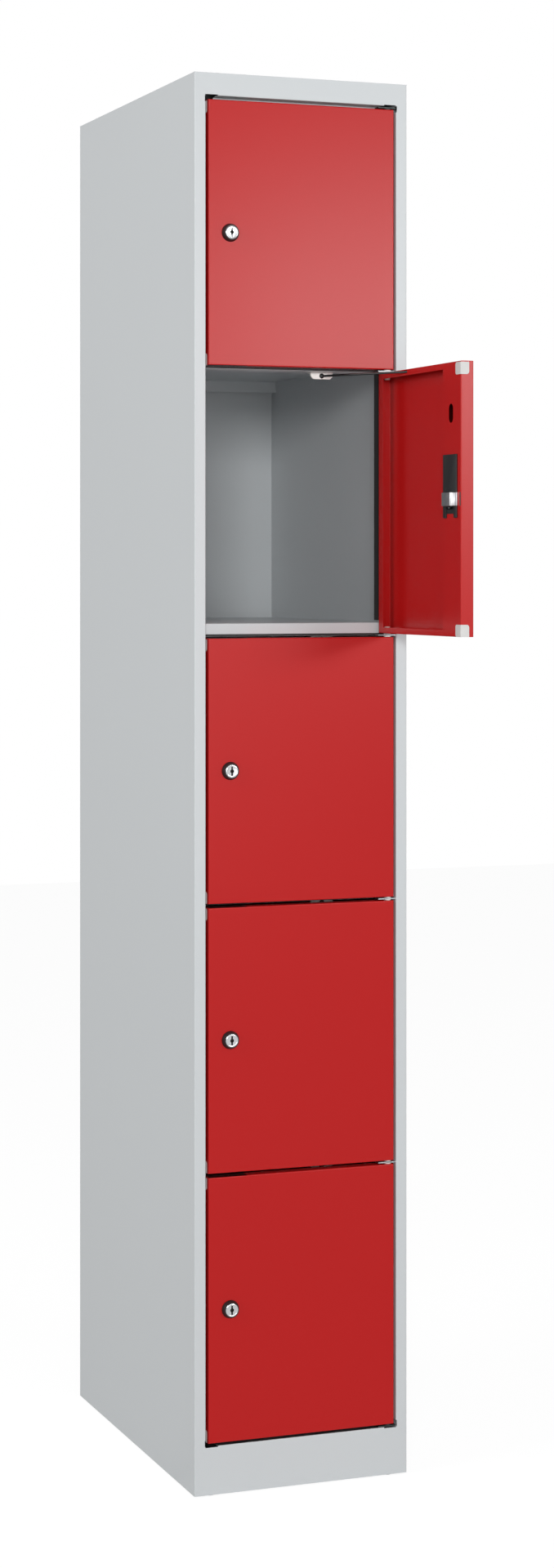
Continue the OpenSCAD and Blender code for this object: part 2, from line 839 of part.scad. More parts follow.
side_left();
side_right();
back_panel();
roof();
floor_plate();
shelf(1);  // shelf_1
shelf(2);  // shelf_2
shelf(3);  // shelf_3
shelf(4);  // shelf_4
stop_strips();
hinge_tabs();
hinge_pins();
stay_brackets();
levelling_feet();
corner_plates();
door(1);  // door_1
door(2);  // door_2
door(3);  // door_3
door(4);  // door_4
door(5);  // door_5
door_bushes(1);  // door_bushes_1
door_bushes(2);  // door_bushes_2
door_bushes(3);  // door_bushes_3
door_bushes(4);  // door_bushes_4
door_bushes(5);  // door_bushes_5
corner_caps(1);  // corner_caps_1
corner_caps(2);  // corner_caps_2
corner_caps(3);  // corner_caps_3
corner_caps(4);  // corner_caps_4
corner_caps(5);  // corner_caps_5
lock_housing(1);  // lock_housing_1
lock_housing(2);  // lock_housing_2
lock_housing(3);  // lock_housing_3
lock_housing(4);  // lock_housing_4
lock_housing(5);  // lock_housing_5
lock_plug(1);  // lock_plug_1
lock_plug(2);  // lock_plug_2
lock_plug(3);  // lock_plug_3
lock_plug(4);  // lock_plug_4
lock_plug(5);  // lock_plug_5
lock_case(1);  // lock_case_1
lock_case(2);  // lock_case_2
lock_case(3);  // lock_case_3
lock_case(4);  // lock_case_4
lock_case(5);  // lock_case_5
lock_bolt(1);  // lock_bolt_1
lock_bolt(2);  // lock_bolt_2
lock_bolt(3);  // lock_bolt_3
lock_bolt(4);  // lock_bolt_4
lock_bolt(5);  // lock_bolt_5
stay_rod(1);  // stay_rod_1
stay_rod(2);  // stay_rod_2
stay_rod(3);  // stay_rod_3
stay_rod(4);  // stay_rod_4
stay_rod(5);  // stay_rod_5
stay_ball(1);  // stay_ball_1
stay_ball(2);  // stay_ball_2
stay_ball(3);  // stay_ball_3
stay_ball(4);  // stay_ball_4
stay_ball(5);  // stay_ball_5
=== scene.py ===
# %% [markdown]
# A steel compartment locker
#
# The locker comes from the CAD model as folded sheet parts, already in their places and in metres.
# We keep the large sheets as they are and give them paint. The small parts that catch the eye, such
# as locks, caps and stays, are modelled again here with rounded edges and fine detail.
#
# Blender works in metres, and the parts are a few millimetres large, so sizes below are written in
# millimetres times `mm`.

# %% Load the locker
import bpy
import bmesh
import json
import math
from mathutils import Matrix, Vector


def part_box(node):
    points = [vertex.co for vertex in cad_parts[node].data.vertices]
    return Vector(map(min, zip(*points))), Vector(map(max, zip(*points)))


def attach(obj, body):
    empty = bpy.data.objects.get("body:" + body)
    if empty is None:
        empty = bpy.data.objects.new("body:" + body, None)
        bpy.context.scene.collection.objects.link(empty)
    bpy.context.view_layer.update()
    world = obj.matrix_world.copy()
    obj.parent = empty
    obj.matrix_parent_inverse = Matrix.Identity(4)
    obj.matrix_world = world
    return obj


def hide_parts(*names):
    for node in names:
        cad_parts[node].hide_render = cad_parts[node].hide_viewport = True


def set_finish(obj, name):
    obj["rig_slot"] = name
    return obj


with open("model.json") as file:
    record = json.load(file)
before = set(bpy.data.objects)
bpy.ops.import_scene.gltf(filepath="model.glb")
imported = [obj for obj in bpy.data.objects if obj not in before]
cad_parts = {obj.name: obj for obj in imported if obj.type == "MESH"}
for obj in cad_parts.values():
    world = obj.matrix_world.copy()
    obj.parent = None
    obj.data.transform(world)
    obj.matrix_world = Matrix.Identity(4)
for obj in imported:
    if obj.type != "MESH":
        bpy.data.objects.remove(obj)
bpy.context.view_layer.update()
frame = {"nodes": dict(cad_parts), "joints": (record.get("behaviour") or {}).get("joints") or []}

mm = 0.001
X, Y, Z = 0, 1, 2
QUARTER_TURN = math.radians(90)
DOORS = (1, 2, 3, 4, 5)
OPEN_DOOR, OPEN_ANGLE = 2, QUARTER_TURN

# %% [markdown]
# The places of the small parts
#
# Every small part belongs to a door, a lock or a stay, so its place is read from the CAD model: the
# hinge axis from the door's joint, the lock's middle from the plug's joint, and edges from the boxes
# of the parts. Nothing has to be fitted by eye, and nothing drifts if the CAD model changes.

# %% Read the places
joints = {joint["name"]: joint for joint in frame["joints"]}
door_low, door_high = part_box("door_1")
pitch = (door_low.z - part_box("door_3")[0].z) / 2
hinge = Vector(joints["door_1_hinge"]["pos_m"])
lock = Vector(joints["plug_1_turn"]["pos_m"])
ball = Vector(joints["ball_1_swivel"]["pos_m"])
pivot = Vector(joints["rod_1_swivel"]["pos_m"])
panel_y = door_high.y
lowest_door_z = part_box("door_5")[0].z
print("door pitch:", round(pitch / mm, 1), "mm; lock at", [round(v / mm, 1) for v in lock])

# %% [markdown]
# Helpers for working as by hand
#
# An operator acts on all that is selected. In a script it is easy to leave something selected by
# mistake, so each step starts from a clean state, and faces or edges are picked by a test of their
# place or direction, much as one would click on them.

# %% Select a piece
def clean():
    """Leaves edit mode and deselects everything."""
    if bpy.context.mode != "OBJECT":
        bpy.ops.object.mode_set(mode="OBJECT")
    bpy.ops.object.select_all(action="DESELECT")


def take(piece, mode="OBJECT"):
    """Makes one piece the only selected one, in object mode or edit mode."""
    clean()
    piece.select_set(True)
    bpy.context.view_layer.objects.active = piece
    bpy.ops.object.mode_set(mode=mode)


def settle(piece, name):
    """Moves a piece's place into its mesh, so that its object sits at the origin."""
    take(piece)
    piece.name = name
    piece.data.name = name
    bpy.ops.object.transform_apply(location=True, rotation=True, scale=True)
    return piece


# %% Pick and shape
NEAR, ALIGNED = 0.01 * mm, 0.99


def pick(piece, kind, test):
    """Selects the faces or edges that pass the test, in edit mode."""
    take(piece, "EDIT")
    bpy.ops.mesh.select_mode(type=kind)
    bpy.ops.mesh.select_all(action="DESELECT")
    mesh = bmesh.from_edit_mesh(piece.data)
    for part in (mesh.faces if kind == "FACE" else mesh.edges):
        part.select_set(test(part))
    bmesh.update_edit_mesh(piece.data)


def block(name, low, high):
    """Adds a cube between two corners, as a start for shaping."""
    clean()
    low, high = Vector(low), Vector(high)
    bpy.ops.mesh.primitive_cube_add(size=1, location=(low + high) / 2)
    bpy.context.active_object.scale = high - low
    return settle(bpy.context.active_object, name)


def middle(edge):
    return (edge.verts[0].co + edge.verts[1].co) / 2


def along(edge):
    return (edge.verts[1].co - edge.verts[0].co).normalized()


def round_edge(piece, axis, place, width, steps=6):
    """Bevels the edges along one axis whose middle lies at the given place (None is anywhere)."""
    def wanted(edge):
        centre = middle(edge)
        at_place = all(v is None or abs(centre[k] - v) < NEAR for k, v in enumerate(place))
        return at_place and abs(along(edge)[axis]) >= ALIGNED
    pick(piece, "EDGE", wanted)
    bpy.ops.mesh.bevel(offset=width, segments=steps, affect="EDGES")
    clean()


# %% [markdown]
# Cutting, joining and finishing
#
# Parts are hollowed and joined with booleans. These are safest where a cutter reaches past the piece
# and no two faces lie in one plane, so cutters stand out by `PAST`. At the end each mesh is cleaned
# and its open edges are counted: a closed piece has none, and its volume is above zero.

# %% Cut, join and finish
PAST, DOUBLES = 1 * mm, 0.002 * mm


def combine(piece, other, operation="UNION"):
    """Adds the solid of another piece, or takes it away with DIFFERENCE."""
    take(piece)
    step = piece.modifiers.new("combine", "BOOLEAN")
    step.operation, step.object, step.solver = operation, other, "EXACT"
    bpy.ops.object.modifier_apply(modifier=step.name)
    bpy.data.objects.remove(other)


def cut(piece, name, low, high):
    """Takes a block between two corners away from a piece."""
    combine(piece, block(name, low, high), "DIFFERENCE")


def soften(piece, width, steps=2, angle=30):
    """Rounds the sharp edges a little, as moulded and cast parts have them."""
    take(piece)
    step = piece.modifiers.new("edges", "BEVEL")
    step.width, step.segments, step.limit_method = width, steps, "ANGLE"
    step.angle_limit = math.radians(angle)
    step.harden_normals = False
    bpy.ops.object.modifier_apply(modifier=step.name)


def finish_mesh(piece, angle=35):
    """Merges doubles, turns all faces outwards and shades the round ones smooth."""
    take(piece, "EDIT")
    bpy.ops.mesh.select_mode(type="VERT")
    bpy.ops.mesh.select_all(action="SELECT")
    bpy.ops.mesh.remove_doubles(threshold=DOUBLES)
    bpy.ops.mesh.normals_make_consistent(inside=False)
    take(piece)
    bpy.ops.object.shade_smooth_by_angle(angle=math.radians(angle))
    mesh = bmesh.new()
    mesh.from_mesh(piece.data)
    open_edges = sum(1 for edge in mesh.edges if not edge.is_manifold)
    volume = mesh.calc_volume(signed=True)
    mesh.free()
    print(piece.name, "faces", len(piece.data.polygons), "open edges", open_edges,
          "volume", round(volume / mm ** 3, 1), "mm3")


# %% [markdown]
# Turned parts
#
# Locks, bushes and feet are round, as if turned on a lathe. One way is to spin a profile. Here a
# circle is extruded ring by ring and each new ring is resized, because then every ring is a pair of
# numbers that can be read: its radius and its height.

# %% Turn a part from rings
FINE_SIDES = 96


def turned(name, rings, place, facing="UP", tube=False, sides=64):
    """A round solid from (radius, height) rings. Facing FRONT lets height run out of the door."""
    clean()
    radius, height = rings[0]
    bpy.ops.mesh.primitive_circle_add(vertices=sides, radius=radius, location=(0, 0, height))
    piece = settle(bpy.context.active_object, name)
    take(piece, "EDIT")
    bpy.ops.mesh.select_mode(type="EDGE")
    bpy.ops.mesh.select_all(action="SELECT")
    if not tube:
        bpy.ops.mesh.edge_face_add()
        bpy.ops.mesh.select_mode(type="FACE")
    for new_radius, new_height in rings[1:]:
        bpy.ops.mesh.extrude_region_move(
            TRANSFORM_OT_translate={"value": (0, 0, new_height - height)})
        ratio = new_radius / radius
        bpy.ops.transform.resize(value=(ratio, ratio, 1), center_override=(0, 0, new_height))
        radius, height = new_radius, new_height
    if tube:
        pick(piece, "EDGE", lambda edge: edge.is_boundary)
        bpy.ops.mesh.bridge_edge_loops()
    take(piece)
    if facing == "FRONT":
        piece.rotation_euler.x = QUARTER_TURN
    piece.location = place
    return settle(piece, name)


def in_mm(rings):
    """Turns rings that are written in millimetres into metres."""
    return [(radius * mm, height * mm) for radius, height in rings]


# %% [markdown]
# The black rosette
#
# Each lock has a black cone on the door, with the barrel behind it that goes through the panel. The
# cone's rim and mouth are slightly rounded, and the mouth is a shallow seat for the plug's head. The
# bore runs through the whole part, so the rings form a closed tube. They are written in millimetres,
# and height 0 is the door's face.

# %% Model the rosette
BARREL_ROUND, BARREL_END = 9.0, -15.5
ROSETTE = [(8.6, BARREL_END), (BARREL_ROUND, -15.1), (BARREL_ROUND, 0.0), (11.6, 0.0), (11.9, 0.35),
           (11.75, 1.3), (9.85, 6.0), (9.6, 6.5), (8.8, 6.5), (8.75, 6.3), (8.75, 4.4), (6.05, 4.4),
           (6.05, BARREL_END)]
rosette = turned("rosette", in_mm(ROSETTE), lock, "FRONT", tube=True, sides=FINE_SIDES)
finish_mesh(rosette, angle=25)

# %% [markdown]
# The plug and its keyway
#
# The plug is the bright part that the key turns. It could get a painted keyway, but a real hole
# catches the light better from any side. A round middle with a slot above and below is cut out of
# the turned plug with a boolean.
#
# Behind the key of a real lock there are dark levers and grease, deep in shade. A hole in plain
# chrome would mirror the white studio and look like a dent, so the walls and the bottom of the hole
# get a second material slot, which the finishes further down fill with a dark metal: painted shade
# for the depth of the keyway.

# %% Model the plug
PLUG_FACE = 6.9
PLUG = [(5.7, -15.3), (6.0, -15.0), (6.0, 4.5), (8.55, 4.5), (8.6, 4.6), (8.6, 6.2), (8.45, 6.6),
        (8.0, 6.85), (7.5, PLUG_FACE), (7.1, 6.75), (6.6, 6.7)]
plug = turned("plug", in_mm(PLUG), lock, "FRONT", sides=FINE_SIDES)
KEY_WIDTH, KEY_HEIGHT, KEY_ROUND, KEY_DEPTH = 2.2 * mm, 12 * mm, 2.6 * mm, 5 * mm
KEY_EDGE, KEY_OUT = 0.5 * mm, 1.1 * mm
key_front = lock.y - PLUG_FACE * mm
key_low, key_high = key_front - KEY_OUT, key_front + KEY_DEPTH
keyway = block("keyway", (lock.x - KEY_WIDTH / 2, key_low, lock.z - KEY_HEIGHT / 2),
               (lock.x + KEY_WIDTH / 2, key_high, lock.z + KEY_HEIGHT / 2))
round_edge(keyway, Y, (None, None, None), KEY_EDGE, steps=3)
eye_rings = [(KEY_ROUND, lock.y - key_high), (KEY_ROUND, lock.y - key_low)]
combine(keyway, turned("eye", eye_rings, lock, "FRONT", sides=32))
combine(plug, keyway, "DIFFERENCE")
finish_mesh(plug, angle=25)


# %% Mark the inside of the keyway
def in_keyway(face):
    """True for the bottom of the hole and for its walls."""
    centre = face.calc_center_median()
    near_axis = math.hypot(centre.x - lock.x, centre.z - lock.z) < KEY_HEIGHT / 2
    wall = near_axis and centre.y < key_high and abs(face.normal.y) < 0.1
    return wall or abs(centre.y - key_high) < NEAR


for name in ("plug_outside", "plug_inside"):
    plug.data.materials.append(bpy.data.materials.new(name))
pick(plug, "FACE", in_keyway)
plug.active_material_index = 1
bpy.ops.object.material_slot_assign()
clean()
print("dark faces in the keyway:", sum(1 for face in plug.data.polygons if face.material_index == 1))

# %% [markdown]
# The lock case
#
# Behind the door sits a black plastic case. Its cover is a flat plate that ends in a fork at the
# bottom, with a shallow pocket between the legs, and a window in the middle where the bolt slides.
# The plate starts as a block and is rounded while it is still plain. Then the body is joined to its
# back, and each opening is cut in turn, as one would mill it.

# %% Measure the lock case and its bolt
case_low, case_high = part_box("lock_case_1")
bolt_low, bolt_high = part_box("lock_bolt_1")
GUIDE_HIGH, GUIDE_DEEP, GUIDE_WIDE = 3 * mm, 1.2 * mm, 5 * mm
BOLT_FIT, TRAVEL = 0.2 * mm, 18 * mm
bolt_half = (bolt_high.z - bolt_low.z) / 2 - GUIDE_HIGH
window_low, window_high = lock.z - bolt_half - BOLT_FIT, lock.z + bolt_half + BOLT_FIT
window_end = bolt_high.x + BOLT_FIT
FORK_WIDTH, FORK_HEIGHT = 24 * mm, 5.3 * mm
fork_left, fork_right = lock.x - FORK_WIDTH / 2, lock.x + FORK_WIDTH / 2
print("window of the bolt:", round((window_high - window_low) / mm, 2), "mm high")

# %% Model the lock case
BODY_WIDTH, BODY_UP, BODY_HEIGHT = 32 * mm, 10 * mm, 60 * mm
POCKET_DEEP, SKIN, RIB = 6 * mm, 0.5 * mm, 1 * mm
COVER_CORNER, COVER_EDGE = 0.5 * mm, 0.2 * mm
front = case_high.y + PAST
body_z = case_low.z + BODY_UP
pocket_top = window_low - RIB

case = block("case", (case_low.x, panel_y, case_low.z), case_high)
for x in (case_low.x, case_high.x):
    for z in (case_low.z, case_high.z):
        round_edge(case, Y, (x, None, z), COVER_CORNER, steps=3)
cut(case, "fork", (fork_left, panel_y - PAST, case_low.z - PAST),
    (fork_right, front, case_low.z + FORK_HEIGHT))
soften(case, COVER_EDGE)
combine(case, block("body", (lock.x - BODY_WIDTH / 2, case_low.y, body_z),
                    (lock.x + BODY_WIDTH / 2, panel_y + SKIN, body_z + BODY_HEIGHT)))
cut(case, "recess", (fork_left, panel_y + SKIN, case_low.z + FORK_HEIGHT - PAST),
    (fork_right, front, pocket_top))
cut(case, "pocket", (fork_left, panel_y - POCKET_DEEP, body_z + RIB),
    (fork_right, front, pocket_top))
cut(case, "window", (case_low.x - PAST, panel_y, window_low), (window_end, front, window_high))
cut(case, "guide_room", (bolt_high.x - GUIDE_WIDE - TRAVEL - BOLT_FIT,
                         panel_y - GUIDE_DEEP - 2 * BOLT_FIT, window_low - GUIDE_HIGH),
    (window_end, panel_y + NEAR, window_high + GUIDE_HIGH))
barrel_rings = [(BARREL_ROUND * mm, BARREL_END * mm - NEAR), (BARREL_ROUND * mm, PAST)]
barrel_room = turned("barrel_room", barrel_rings, lock, "FRONT", sides=FINE_SIDES)
combine(case, barrel_room, "DIFFERENCE")
finish_mesh(case)

# %% [markdown]
# The bolt
#
# The bolt is die-cast zinc: a flat tongue towards the door's edge, a raised head with a slanted
# corner, and a plate under the cover that guides it. The tongue is cut free from the head's block,
# so the two keep one even back. A neck joins the head to the plate. It starts and ends well inside
# them, for a clean boolean.

# %% Model the bolt
TONGUE, NECK_IN, HEAD_SLANT, BOLT_EDGE = 5 * mm, 0.5 * mm, 1.5 * mm, 0.35 * mm
head_x, guide_x = bolt_low.x + TONGUE, bolt_high.x - GUIDE_WIDE
guide_y = panel_y - BOLT_FIT
bolt_down, bolt_up = lock.z - bolt_half, lock.z + bolt_half

bolt = block("bolt", (bolt_low.x, panel_y + BOLT_FIT, bolt_down), (bolt_high.x, bolt_high.y, bolt_up))
cut(bolt, "step", (bolt_low.x - PAST, case_high.y, bolt_down - PAST),
    (head_x, bolt_high.y + PAST, bolt_up + PAST))
round_edge(bolt, Z, (head_x, bolt_high.y, None), HEAD_SLANT, steps=1)
soften(bolt, BOLT_EDGE, steps=3)
guide = block("guide", (guide_x, guide_y - GUIDE_DEEP, bolt_down - GUIDE_HIGH),
              (bolt_high.x, guide_y, bolt_up + GUIDE_HIGH))
combine(guide, block("neck", (guide_x + NECK_IN, guide_y - NECK_IN, bolt_down + NECK_IN),
                     (bolt_high.x - NECK_IN, case_high.y, bolt_up - NECK_IN)))
combine(bolt, guide)
finish_mesh(bolt)

# %% [markdown]
# Corner caps
#
# Light grey plastic caps protect the two corners on the lock side. A cap is a thin shell round the
# door's edge. A block with rounded corners is cut by a second block that stands for the door, and
# two walls are left. The lower cap is the same part, mirrored and set flush with the lower edge.

# %% Model the corner caps
CAP_WALL, CAP_WIDE, CAP_DEEP, CAP_HIGH, CAP_DOWN = 0.8 * mm, 15 * mm, 11 * mm, 15.5 * mm, 1.5 * mm
CAP_ROUND, CAP_EDGE, CAP_FINE_EDGE, DOOR_BEND = 3.5 * mm, 0.8 * mm, 0.15 * mm, 1 * mm
cap_low = Vector((door_low.x - CAP_WALL, panel_y - CAP_DEEP, door_high.z - CAP_DOWN - CAP_HIGH))
cap_high = Vector((door_low.x + CAP_WIDE, panel_y + CAP_WALL, door_high.z - CAP_DOWN))
cap = block("cap", cap_low, cap_high)
for axis, place in ((Y, (cap_high.x, None, cap_low.z)), (Y, (cap_high.x, None, cap_high.z)),
                    (X, (None, cap_low.y, cap_low.z))):
    round_edge(cap, axis, place, CAP_ROUND)
for axis, place in ((X, (None, cap_low.y, cap_high.z)), (Z, (cap_low.x, cap_high.y, None))):
    round_edge(cap, axis, place, CAP_EDGE, steps=3)
room = block("room", (door_low.x, door_low.y - PAST, door_low.z), (door_high.x, panel_y, door_high.z))
for axis, place in ((Y, (door_low.x, None, door_high.z)), (Z, (door_low.x, panel_y, None)),
                    (X, (None, panel_y, door_high.z))):
    round_edge(room, axis, place, DOOR_BEND, steps=3)
combine(cap, room, "DIFFERENCE")
soften(cap, CAP_FINE_EDGE, steps=1, angle=50)
finish_mesh(cap, angle=30)

# %% [markdown]
# Bushes of the hinge
#
# A white nylon bush sits in the top and the bottom flange of each door. Its collar shows in the gap
# between two doors and keeps them apart; its barrel holds the pin.

# %% Model a bush
collar = (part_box("door_bushes_1")[1].z - door_high.z) / mm
BUSH = [(2.55, -8.5), (3.5, -8.5), (3.7, -8.2), (3.7, 0.0), (4.6, 0.0), (4.75, 0.15),
        (4.75, collar - 0.2), (4.6, collar), (2.75, collar), (2.55, collar - 0.2)]
bush = turned("bush", in_mm(BUSH), (hinge.x, hinge.y, door_high.z), tube=True)
finish_mesh(bush, angle=25)

# %% [markdown]
# The bracket of the door stay
#
# The stay holds an open door. A white bracket under the lip has a socket, a black ball turns in it,
# and a thin rod slides through the ball. The bracket is an angle: a foot against the lip and an
# upright face with one large round corner and one small slanted one. It is cut from a single block,
# so that its two legs are one solid without a seam.

# %% Model the bracket
def sphere(name, radius):
    """Adds a sphere about the middle of the stay's ball."""
    clean()
    bpy.ops.mesh.primitive_uv_sphere_add(segments=48, ring_count=24, radius=radius, location=ball)
    return settle(bpy.context.active_object, name)


LIP_GAP, SOCKET, SOCKET_WALL = 1.7 * mm, 4 * mm, 0.4 * mm
BRACKET_WIDE, BRACKET_THICK, BRACKET_FOOT, FOOT_THICK = 31.5 * mm, 4 * mm, 12 * mm, 1.5 * mm
LARGE_CORNER, SMALL_CORNER, FOOT_CORNER, BRACKET_EDGE = 0.7, 0.4, 3 * mm, 0.25 * mm
lip_z = door_high.z + LIP_GAP
drop = lip_z - ball.z + SOCKET + SOCKET_WALL
round_x, slant_x = ball.x - BRACKET_WIDE / 2, ball.x + BRACKET_WIDE / 2
bracket = block("bracket", (round_x, ball.y - BRACKET_THICK / 2, lip_z - drop),
                (slant_x, ball.y + BRACKET_FOOT, lip_z))
cut(bracket, "angle", (ball.x - BRACKET_WIDE, ball.y + BRACKET_THICK / 2, lip_z - 2 * drop),
    (ball.x + BRACKET_WIDE, ball.y + 2 * BRACKET_FOOT, lip_z - FOOT_THICK))
round_edge(bracket, Y, (round_x, None, lip_z - drop), LARGE_CORNER * drop, steps=10)
round_edge(bracket, Y, (slant_x, None, lip_z - drop), SMALL_CORNER * drop, steps=1)
for x in (round_x, slant_x):
    round_edge(bracket, Z, (x, ball.y + BRACKET_FOOT, None), FOOT_CORNER, steps=5)
soften(bracket, BRACKET_EDGE)
combine(bracket, sphere("socket", SOCKET), "DIFFERENCE")
finish_mesh(bracket)

# %% [markdown]
# The ball of the door stay
#
# The ball is a sphere with a bore for the rod. The bore points from the rod's pivot to the ball, so
# rod and bore lie in line on the closed door. It is cut as a real hole, since the rod slides in it.

# %% Model the ball
BALL_ROUND, ROD = 3.8 * mm, 1.5 * mm
BORE_FIT, BORE_REACH = 0.1 * mm, 6 * mm
reach = ball - pivot
rod_turn = math.atan2(reach.y, reach.x)
stay_ball = sphere("stay_ball", BALL_ROUND)
bore_rings = [(ROD + BORE_FIT, -BORE_REACH), (ROD + BORE_FIT, BORE_REACH)]
bore = turned("bore", bore_rings, (0, 0, 0), sides=32)
bore.rotation_euler = (0, QUARTER_TURN, rod_turn)
bore.location = ball
combine(stay_ball, settle(bore, "bore"), "DIFFERENCE")
finish_mesh(stay_ball)

# %% [markdown]
# The rod of the door stay
#
# The rod is one wire. Its bent end turns in the door's top flange, and a stop at the other end
# keeps it in the ball. A disc is extruded down, spun by a quarter turn for the bend, and extruded
# again. A curve with a bevel would also do, but its end would need a second object for the stop.
# The rod's length follows from the open door: the stop then lies just behind the ball.

# %% Measure the rod
def about(centre, turn):
    """A turn about the upright axis through a point."""
    shift = Matrix.Translation((centre.x, centre.y, 0))
    return shift @ turn @ shift.inverted()


opened = Matrix.Rotation(OPEN_ANGLE, 4, "Z")
half_open = Matrix.Rotation(OPEN_ANGLE / 2, 4, "Z")
open_pivot = about(hinge, opened) @ pivot
STOP_PLAY = 1 * mm
rod_end = (ball - open_pivot).xy.length + BALL_ROUND + STOP_PLAY
rod_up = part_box("stay_rod_1")[1].z - pivot.z
print("rod:", round(rod_end / mm, 1), "mm long,", round(rod_up / mm, 1), "mm up from its middle")

# %% Model the rod
BEND, ROD_EDGE = 2.4 * mm, 0.2 * mm
STOP, STOP_LONG, STOP_EDGE = 3 * mm, 4 * mm, 0.3 * mm


def at_bend(face):
    """True for the flat end where the bend starts."""
    return face.calc_center_median().z < BEND + NEAR and abs(face.normal.z) > ALIGNED


rod_rings = [(ROD - ROD_EDGE, rod_up), (ROD, rod_up - ROD_EDGE), (ROD, BEND)]
rod = turned("rod", rod_rings, (0, 0, 0), sides=24)
pick(rod, "FACE", at_bend)
bpy.ops.mesh.spin(steps=10, angle=QUARTER_TURN, center=(BEND, 0, BEND), axis=(0, 1, 0))
radius, here = ROD, BEND
for new_radius, x in ((ROD, rod_end), (STOP - STOP_EDGE, rod_end), (STOP, rod_end + STOP_EDGE),
                      (STOP, rod_end + STOP_LONG - STOP_EDGE),
                      (STOP - STOP_EDGE, rod_end + STOP_LONG)):
    bpy.ops.mesh.extrude_region_move(TRANSFORM_OT_translate={"value": (x - here, 0, 0)})
    ratio = new_radius / radius
    bpy.ops.transform.resize(value=(1, ratio, ratio), center_override=(x, 0, 0))
    radius, here = new_radius, x
take(rod)
rod.rotation_euler.z = rod_turn
rod.location = pivot
settle(rod, "rod")
finish_mesh(rod)

# %% [markdown]
# Levelling feet
#
# The locker stands on four round glides with a threaded stud. The stud's thread is made of rings
# that grow and shrink. A real helix would look the same at this size and cost more faces.

# %% Model a foot
foot_low, foot_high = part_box("levelling_feet")
GLIDE, STUD, THREAD = 8 * mm, 4 * mm, 1.25 * mm
STUD_NECK, STUD_CORE, STUD_TIP, TIP_LONG = 3.4 * mm, 3.45 * mm, 3 * mm, 1 * mm
foot_place = Vector((foot_low.x + GLIDE, foot_low.y + GLIDE, 0))
flange_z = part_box("side_left")[0].z
rings = [(7.3 * mm, 0), (7.8 * mm, 0.4 * mm), (GLIDE, 1 * mm), (GLIDE, flange_z - 0.5 * mm),
         (7.6 * mm, flange_z), (STUD_NECK, flange_z)]
height = flange_z + THREAD / 2
while height < foot_high.z - TIP_LONG:
    rings += [(STUD, height), (STUD_CORE, height + THREAD / 2)]
    height += THREAD
rings.append((STUD_TIP, foot_high.z))
foot = turned("foot", rings, foot_place, sides=48)
finish_mesh(foot, angle=25)

# %% [markdown]
# Copies for all doors
#
# All doors are the same, so each part was made once, on the closed top door. A copy goes one pitch
# down for each door. Door 2 stands open, so its parts also turn about the hinge axis by as much as
# that door does. Its ball and its rod turn by half of that, and the rod's pivot has moved with the
# door. Each copy has its own mesh, so that it can move on its own body.

# %% Find the place of a copy
def below(number):
    """Carries a part from door 1 straight down to another door."""
    return Matrix.Translation((0, 0, -pitch * (number - 1)))


def places(number):
    """The places of the parts on a door, of its stay's ball and of its stay's rod."""
    down = below(number)
    if number != OPEN_DOOR:
        return down, down, down
    to_pivot = Matrix.Translation((pivot.x, pivot.y, 0))
    to_open_pivot = Matrix.Translation((open_pivot.x, open_pivot.y, 0))
    with_rod = to_open_pivot @ half_open @ to_pivot.inverted()
    return down @ about(hinge, opened), down @ about(ball, half_open), down @ with_rod


def mirrored(axis, at):
    """The matrix that mirrors across a plane."""
    flip = [1, 1, 1]
    flip[axis] = -1
    shift = Vector((0, 0, 0))
    shift[axis] = at
    return Matrix.Translation(shift) @ Matrix.Diagonal((*flip, 1)) @ Matrix.Translation(-shift)


# %% Copy and merge
def copy_to(piece, name, place):
    """Copies a piece with its own mesh and puts the place into the mesh."""
    clean()
    copy = piece.copy()
    copy.data = piece.data.copy()
    bpy.context.collection.objects.link(copy)
    copy.name = copy.data.name = name
    copy.data.transform(place)
    if place.determinant() < 0:
        take(copy, "EDIT")
        bpy.ops.mesh.select_all(action="SELECT")
        bpy.ops.mesh.normals_make_consistent(inside=False)
        clean()
    return copy


def merge(pieces, name):
    """Joins several copies into one piece."""
    clean()
    for piece in pieces:
        piece.select_set(True)
    bpy.context.view_layer.objects.active = pieces[0]
    bpy.ops.object.join()
    return settle(pieces[0], name)


# %% Make the copies and tie them to the bodies
made = []


def hand_over(piece, body, slot, *nodes):
    """Ties a finished piece to its body, its finish and the CAD parts that it stands for."""
    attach(piece, body)
    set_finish(piece, slot)
    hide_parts(*nodes)
    made.append(piece)


flip_down = mirrored(Z, (door_low.z + door_high.z) / 2)
cap_flip = Matrix.Translation((0, 0, -CAP_DOWN)) @ flip_down
for number in DOORS:
    place, at_ball, at_pivot = places(number)
    door = f"door_{number}"
    hand_over(copy_to(rosette, f"rosette_{number}", place), door, "black_plastic",
              f"lock_housing_{number}")
    hand_over(copy_to(plug, f"plug_head_{number}", place), f"plug_{number}", "chrome",
              f"lock_plug_{number}")
    hand_over(copy_to(case, f"case_{number}", place), door, "black_plastic", f"lock_case_{number}")
    hand_over(copy_to(bolt, f"bolt_head_{number}", place), f"bolt_{number}", "zinc",
              f"lock_bolt_{number}")
    caps = [copy_to(cap, f"cap_top_{number}", place),
            copy_to(cap, f"cap_low_{number}", place @ cap_flip)]
    hand_over(merge(caps, f"caps_{number}"), door, "grey_plastic", f"corner_caps_{number}")
    bushes = [copy_to(bush, f"bush_top_{number}", place),
              copy_to(bush, f"bush_low_{number}", place @ flip_down)]
    hand_over(merge(bushes, f"bushes_{number}"), door, "white_plastic", f"door_bushes_{number}")
    hand_over(copy_to(stay_ball, f"ball_{number}_sphere", at_ball), f"ball_{number}",
              "black_plastic", f"stay_ball_{number}")
    hand_over(copy_to(rod, f"rod_{number}_wire", at_pivot), f"rod_{number}", "black_rod",
              f"stay_rod_{number}")

